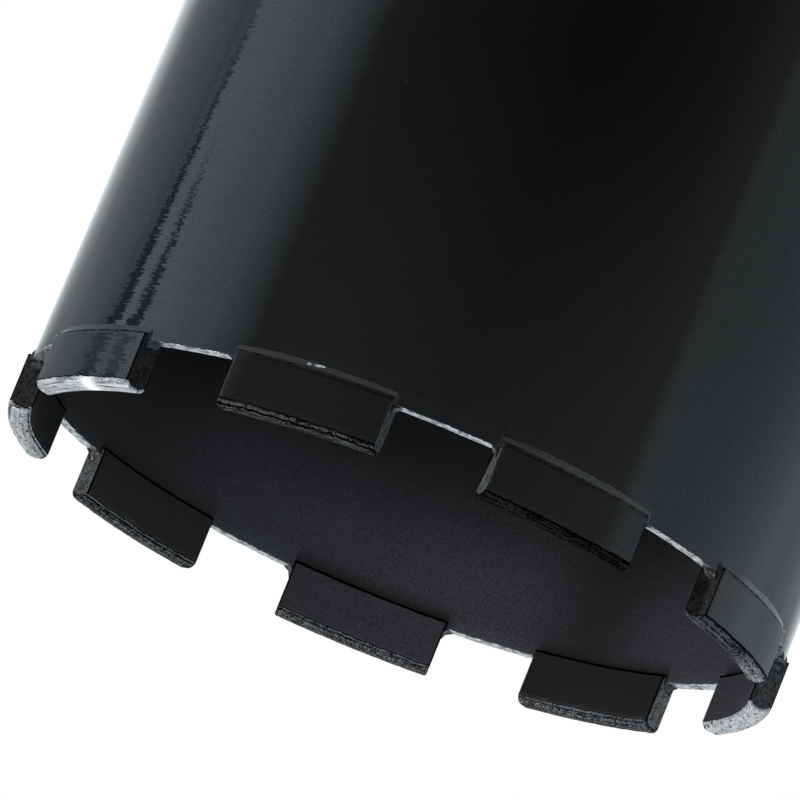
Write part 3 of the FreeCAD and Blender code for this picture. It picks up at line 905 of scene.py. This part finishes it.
def make_hub(material):
    """Hub: a turned outline with two flats, and a bore whose wall is the thread.

    Below the top of the flats the radius is cut to the flats' distance over the cosine of the angle. At both
    ends of the bore the wall is the wider of the thread and the lead-in cone."""
    edge_angle = math.acos(FLAT_HALF / HUB_RADIUS)
    wanted = [s * edge_angle + t for s in (-1, 1) for t in (0, TAU / 2)]
    angles = np.unique(np.concatenate([np.linspace(0, TAU, 241)[:-1], np.mod(wanted, TAU)]))
    mouth = THREAD_CORE + THREAD_CHAMFER
    wall_heights = (HUB_EDGE, 9.0, 17.0, FLAT_TOP - 0.01, FLAT_TOP + 0.01, 33.0, PLATE_REAR)
    outline = [
        (mouth, 0.0), (18.5, 0.0), (HUB_RADIUS - HUB_EDGE, 0.0), (HUB_RADIUS - 1.05, 0.08),
        (HUB_RADIUS - 0.08, 1.05), *((HUB_RADIUS, z) for z in wall_heights),
        (SPIGOT_RADIUS, PLATE_REAR), (SPIGOT_RADIUS, PLATE_FRONT), (mouth, PLATE_FRONT),
    ]
    outside = turned_grid(outline, angles)
    height = outside[..., 2]
    radius = np.hypot(outside[..., 0], outside[..., 1])
    flat_radius = FLAT_HALF / np.maximum(np.abs(np.cos(angles)), 1e-6)
    cut = np.where(height < FLAT_TOP, np.minimum(radius, flat_radius[None, :]), radius)
    flat = (cut < radius) * 1.0
    outside = np.stack([cut * np.cos(angles), cut * np.sin(angles), height], axis=-1)
    bore_heights = np.linspace(PLATE_FRONT, 0, 195)[1:-1]
    to_mouth = np.minimum(bore_heights, PLATE_FRONT - bore_heights)
    cone = THREAD_CORE + np.maximum(THREAD_CHAMFER - to_mouth, 0)
    wall = np.maximum(thread_radius(angles[None, :], bore_heights[:, None]), cone[:, None])
    bore = np.stack(np.broadcast_arrays(
        wall * np.cos(angles), wall * np.sin(angles), bore_heights[:, None]), axis=-1)
    shell = Shell()
    flat = np.concatenate([flat, np.zeros(bore.shape[:2])])
    shell.ring(np.concatenate([outside, bore])[:, ::-1], flat=flat[:, ::-1])
    return finish_piece(shell.piece("hub_body"), "threaded_hub", material)


def make_weld(name, node, corner_radius, leg, outward, ripples, material):
    """Fillet weld: a bowed triangle carried round the axis, with a ripple for each puddle of weld metal."""
    angles = np.linspace(0, TAU, 721)[:-1]
    side = 1 if outward else -1
    bow = np.linspace(0, QUARTER, 12)
    out = np.concatenate([[0.0], 1 - np.sin(bow) ** 1.6])
    down = np.concatenate([[0.0], 1 - np.cos(bow) ** 1.6])
    surface = np.concatenate([[0.0], np.sin(2 * bow)])
    radius = corner_radius + side * leg * out[:, None]
    lag = 0.5 * (out - down)[:, None]
    ripple = np.abs(np.sin((angles[None, :] * ripples / 2) + lag)) ** 0.6
    swell = 1 - 0.07 * surface[:, None] * (1 - ripple)
    r = corner_radius + (radius - corner_radius) * swell
    z = PLATE_REAR - leg * down[:, None] * swell
    grid = np.stack(np.broadcast_arrays(r * np.cos(angles), r * np.sin(angles), z), axis=-1)
    shell = Shell()
    shell.ring(grid if outward else grid[:, ::-1])
    return finish_piece(shell.piece(name), node, material)


# How each segment looks: its crown's lightness, which is partly painted reflection, and how streaked it is,
# wear of its edges, lightness of its ends, lightness of its inner face as a share of thin paint, strength of
# its painted highlight spot, how much lighter its clockwise end gets, and how strong its groove and pits are
Look = namedtuple("Look", "tone streaked wear end_grey inner_grey polish lighter groove pits")
SEGMENT_LOOKS = {
    1: Look(0.085, 0.5, 0.9, 0.060, 1.40, 0.0, 0.0, 0.6, 0.5),
    2: Look(0.085, 0.4, 0.7, 0.130, 0.32, 0.0, 0.0, 0.4, 0.0),
    3: Look(0.370, 0.2, 0.8, 0.055, 1.35, 0.0, 0.0, 0.0, 1.0),
    4: Look(0.060, 0.7, 1.0, 0.032, 0.60, 0.0, 3.0, 0.0, 0.6),
    5: Look(0.010, 0.9, 0.9, 0.080, 0.60, 0.0, 0.0, 0.0, 0.0),
    6: Look(0.042, 1.1, 1.0, 0.065, 0.60, 0.0, 0.0, 1.0, 0.7),
    7: Look(0.320, 0.9, 0.5, 0.020, 0.60, 1.0, 0.0, 0.0, 0.0),
    8: Look(0.280, 0.5, 0.8, 0.030, 0.08, 0.0, 0.0, 1.0, 1.0),
    9: Look(0.070, 0.6, 1.2, 0.075, 0.50, 0.0, 0.0, 1.0, 0.3),
}
# Ends with a darker inner part: width of the light strip at the root and at the crown as a share of the
# thickness, and the share of the tone that is left beside it
END_STRIPS = {4: (0.34, 0.34, 0.36), 5: (0.40, 1.0, 0.05)}
WHOLE_END = (1.2, 1.2, 1.0)
# How bare of paint the braze fillets are, and those that are bare in more places than the others
BARE_FILLET = 0.28
BARE_FILLETS = {4: 0.38, 8: 0.36, 9: 0.42}
# How strong the painted sheen is on seams
SHEEN_SEAMS = {4: 1.0, 5: 0.25, 6: 0.07}
# Bare flecks on the seam of segment 6: across, height, half length, half height
FLECKS = {
    6: (
        (-1.0, ROOT - 0.75, 0.45, 0.22),
        (0.15, ROOT - 0.85, 0.5, 0.24),
        (0.8, ROOT - 0.95, 0.6, 0.22),
    ),
}


# Floor, light and camera

CAMERA_AIM = Vector((7.0, 0.06, 182.37)) * MM
CAMERA_DISTANCE = 1756.6 * MM
CAMERA_AZIMUTH = math.radians(0.3)
CAMERA_ELEVATION = math.radians(14.29)
CAMERA_ROLL = math.radians(157.92)
CAMERA_LENS = 553.6
SENSOR_WIDTH = 36.0
FLOOR_RADIUS = 0.44
FLOOR_FADE_FROM = 0.13
FLOOR_DEPTH = -0.02
FLOOR_GREY = 0.44
FLOOR_GLOW = 0.46
KEY_PLACE = (0.85, -0.30, 1.05)
KEY_AIM = (0, 0, 0.15)
KEY_SIZE = 0.6
KEY_WATTS = 9.0


def make_camera():
    """Camera above the mouth's side, rolled so that the mouth faces down and left in the picture."""
    camera = bpy.data.objects.new("camera", bpy.data.cameras.new("camera"))
    camera.data.lens = CAMERA_LENS
    camera.data.sensor_width = SENSOR_WIDTH
    camera.data.clip_end = 50.0
    flat = math.cos(CAMERA_ELEVATION)
    out_x = math.sin(CAMERA_AZIMUTH) * flat
    out_y = -math.cos(CAMERA_AZIMUTH) * flat
    back = Vector((out_x, out_y, math.sin(CAMERA_ELEVATION)))
    camera.location = CAMERA_AIM + back * CAMERA_DISTANCE
    camera.rotation_mode = "QUATERNION"
    level = (-back).to_track_quat("-Z", "Y")
    camera.rotation_quaternion = level @ Quaternion((0, 0, 1), -CAMERA_ROLL)
    bpy.context.scene.collection.objects.link(camera)
    bpy.context.scene.camera = camera


def seen_by(root, *kinds):
    """1 for rays of the given kinds, and 0 for all others."""
    rays = [root.node("ShaderNodeLightPath", out=f"Is {kind} Ray") for kind in kinds]
    return sum(rays[1:], rays[0]).math("MINIMUM", 1.0)


def make_floor():
    """Round pale floor, white to the camera where nothing shades it. It is a fan of rings that fades out."""
    rings = np.linspace(0, 1, 12)[1:] * FLOOR_RADIUS / MM
    angles = np.linspace(0, TAU, 97)[:-1]
    grid = turned_grid([(ring, FLOOR_DEPTH) for ring in rings], angles)
    points = np.concatenate([[[0.0, 0.0, FLOOR_DEPTH]], grid.reshape(-1, 3)])
    column = np.arange(len(angles))
    after = (column + 1) % len(angles)
    triangles = np.stack([np.zeros_like(column), 1 + column, 1 + after], axis=-1)
    floor = mesh_from("floor", points, grid_faces(len(rings), len(angles), 1), triangles, {})
    material = bpy.data.materials.new("floor_white")
    material.use_nodes = True
    tree = material.node_tree
    tree.nodes.clear()
    root = Wire(tree, None)
    seen = seen_by(root, "Camera", "Glossy", "Transmission")
    matte = root.node("ShaderNodeBsdfDiffuse", None, Color=(FLOOR_GREY, FLOOR_GREY, FLOOR_GREY, 1.0))
    glow = root.node("ShaderNodeEmission", None, Color=(1, 1, 1, 1), Strength=seen * FLOOR_GLOW)
    both = root.node("ShaderNodeAddShader", None, n0=matte, n1=glow)
    clear = root.node("ShaderNodeBsdfTransparent")
    place = root.node("ShaderNodeTexCoord", out="Object")
    out_from_axis = root.node("ShaderNodeVectorMath", {"operation": "LENGTH"}, out="Value", n0=place)
    fade = out_from_axis.step(FLOOR_FADE_FROM, FLOOR_RADIUS)
    faded = root.node("ShaderNodeMixShader", None, n0=fade, n1=both, n2=clear)
    root.node("ShaderNodeOutputMaterial", None, Surface=faded)
    floor.data.materials.append(material)


# Brightness of the studio below eye level, by the angle from the front towards +X in degrees
STUDIO_GREYS = (
    (-180, 1.60), (-166, 1.30), (-152, 0.62), (-138, 0.50), (-120, 0.66), (-100, 0.58), (-80, 0.49),
    (-58.5, 0.47), (-55.0, 0.24), (-40, 0.12), (-20, 0.06), (0, 0.03), (20, 0.06), (44, 0.09), (59, 0.15),
    (67, 0.62), (76, 1.0), (96, 1.17), (112, 1.06), (117, 0.54), (134, 0.50), (146, 0.52), (155, 0.70),
    (163, 1.05), (172, 1.50), (180, 1.60),
)
STUDIO_ABOVE = 1.0
STUDIO_TURN = 0.8
STUDIO_TINT = (0.90, 1.0, 1.055)
WHITE = (1.0, 1.0, 1.0)
# Slope of the rays below which the studio changes towards the mouth, and how far below it that goes on
MOUTH_DROP = 0.2414
DEEPEST_DROP = -0.035
# Angles between which something comes in or goes out: lean of the soft box, the back, the front, the -X side
LEAN_IN = (85, 105)
LEAN_OUT = (120, 150)
BACK_IN = (140, 153)
FRONT_OUT = (35, 75)
LEFT_IN = (-128, -115)
LEFT_OUT = (-62, -56)
GAP_LEAN = 241
# Dark upright gaps: angle, lean, half width, how fast they narrow, and how dark they are
GAPS = (
    (114.4, GAP_LEAN, 2.8, 82, 0.84),
    (104.2, GAP_LEAN / 2, 2.9, 155, 0.84),
    (119.6, GAP_LEAN, 2.4, 60, 0.16),
)


def make_world():
    """White to the camera. Everything else sees a plain studio with a soft box on +X and a dim front.

    Towards the mouth the front gets darker and the back brighter, and the dark upright gaps beside the soft
    box lean and narrow."""
    world = bpy.data.worlds.new("studio")
    bpy.context.scene.world = world
    world.use_nodes = True
    tree = world.node_tree
    tree.nodes.clear()
    root = Wire(tree, None)
    direction = root.node("ShaderNodeTexCoord", out="Generated")
    x, y, z = (root.node("ShaderNodeSeparateXYZ", out=k, n0=direction) for k in range(3))
    angle = x.math("ARCTAN2", y * -1.0) * (180 / math.pi) - STUDIO_TURN
    sideways = angle.math("ABSOLUTE")
    drop = (z + MOUTH_DROP).math("MINIMUM", 0.0).math("MAXIMUM", DEEPEST_DROP)
    stops = [((degrees + 180) / 360, grey / 2) for degrees, grey in STUDIO_GREYS]
    leaning = angle.step(*LEAN_IN) * angle.step(*LEAN_OUT, 1.0, 0.0)
    upright = angle - drop * GAP_LEAN * leaning
    around = root.node("ShaderNodeValToRGB", {"stops": stops}, Fac=upright / 360 + 0.5) * 2.0
    around = around * (1 + sideways.step(*BACK_IN) * (-0.35 - drop * 40))
    around = around + sideways.step(*FRONT_OUT, 1.0, 0.0) * (drop * 5.5 + 0.175)
    left = angle.step(*LEFT_IN) * angle.step(*LEFT_OUT, 1.0, 0.0)
    around = around * (1 + left * (drop * 15 + 0.30).math("MAXIMUM", 0.0))
    for middle, lean, half_width, narrowing, depth in GAPS:
        off = (angle - middle - drop * lean).math("ABSOLUTE")
        inside = (drop * narrowing + half_width - off).step(-0.1, 0.1)
        around = around * (1 - inside * depth)
    above = z.step(0.02, 0.4)
    studio = around * (1 - above) + above * STUDIO_ABOVE
    seen = seen_by(root, "Camera", "Transmission")
    strength = studio * (1 - seen) + seen
    tint = seen.blend(STUDIO_TINT, WHITE)
    glow = root.node("ShaderNodeBackground", None, Color=tint, Strength=strength)
    root.node("ShaderNodeOutputWorld", None, Surface=glow)


def make_lamp(name, place, aim, size, watts):
    """Soft square lamp that the camera doesn't see."""
    lamp = bpy.data.objects.new(name, bpy.data.lights.new(name, "AREA"))
    lamp.data.shape = "SQUARE"
    lamp.data.size = size
    lamp.data.energy = watts
    lamp.location = place
    lamp.rotation_mode = "QUATERNION"
    lamp.rotation_quaternion = (Vector(aim) - Vector(place)).to_track_quat("-Z", "Y")
    lamp.visible_camera = False
    bpy.context.scene.collection.objects.link(lamp)


make_camera()
make_world()
make_floor()
make_lamp("key", KEY_PLACE, KEY_AIM, KEY_SIZE, KEY_WATTS)

barrel_paint = barrel_finish()
plate_paint = plain_paint("plate_paint", 0.2)
weld_paint = plain_paint("weld_paint", 0.24)
braze_metal = braze_finish()
hub_steel = steel_finish()

make_barrel(barrel_paint)
for station, look in SEGMENT_LOOKS.items():
    strip_root, strip_crown, rest = END_STRIPS.get(station, WHOLE_END)
    sintered = segment_finish(f"segment_{station}_finish", look, rest)
    make_segment(station, sintered, look.wear, strip_root, strip_crown)
    flecks = FLECKS.get(station, ())
    bare_fillet = BARE_FILLETS.get(station, BARE_FILLET)
    make_braze(station, braze_metal, flecks, bare_fillet, SHEEN_SEAMS.get(station, 0.0))
make_plate(plate_paint)
make_hub(hub_steel)
make_weld("hub_bead", "hub_weld", HUB_RADIUS, HUB_WELD_LEG, True, 64, weld_paint)
make_weld("plate_bead", "plate_weld", TUBE_INNER, PLATE_WELD_LEG, False, 150, weld_paint)

bpy.context.scene.view_settings.view_transform = "Standard"
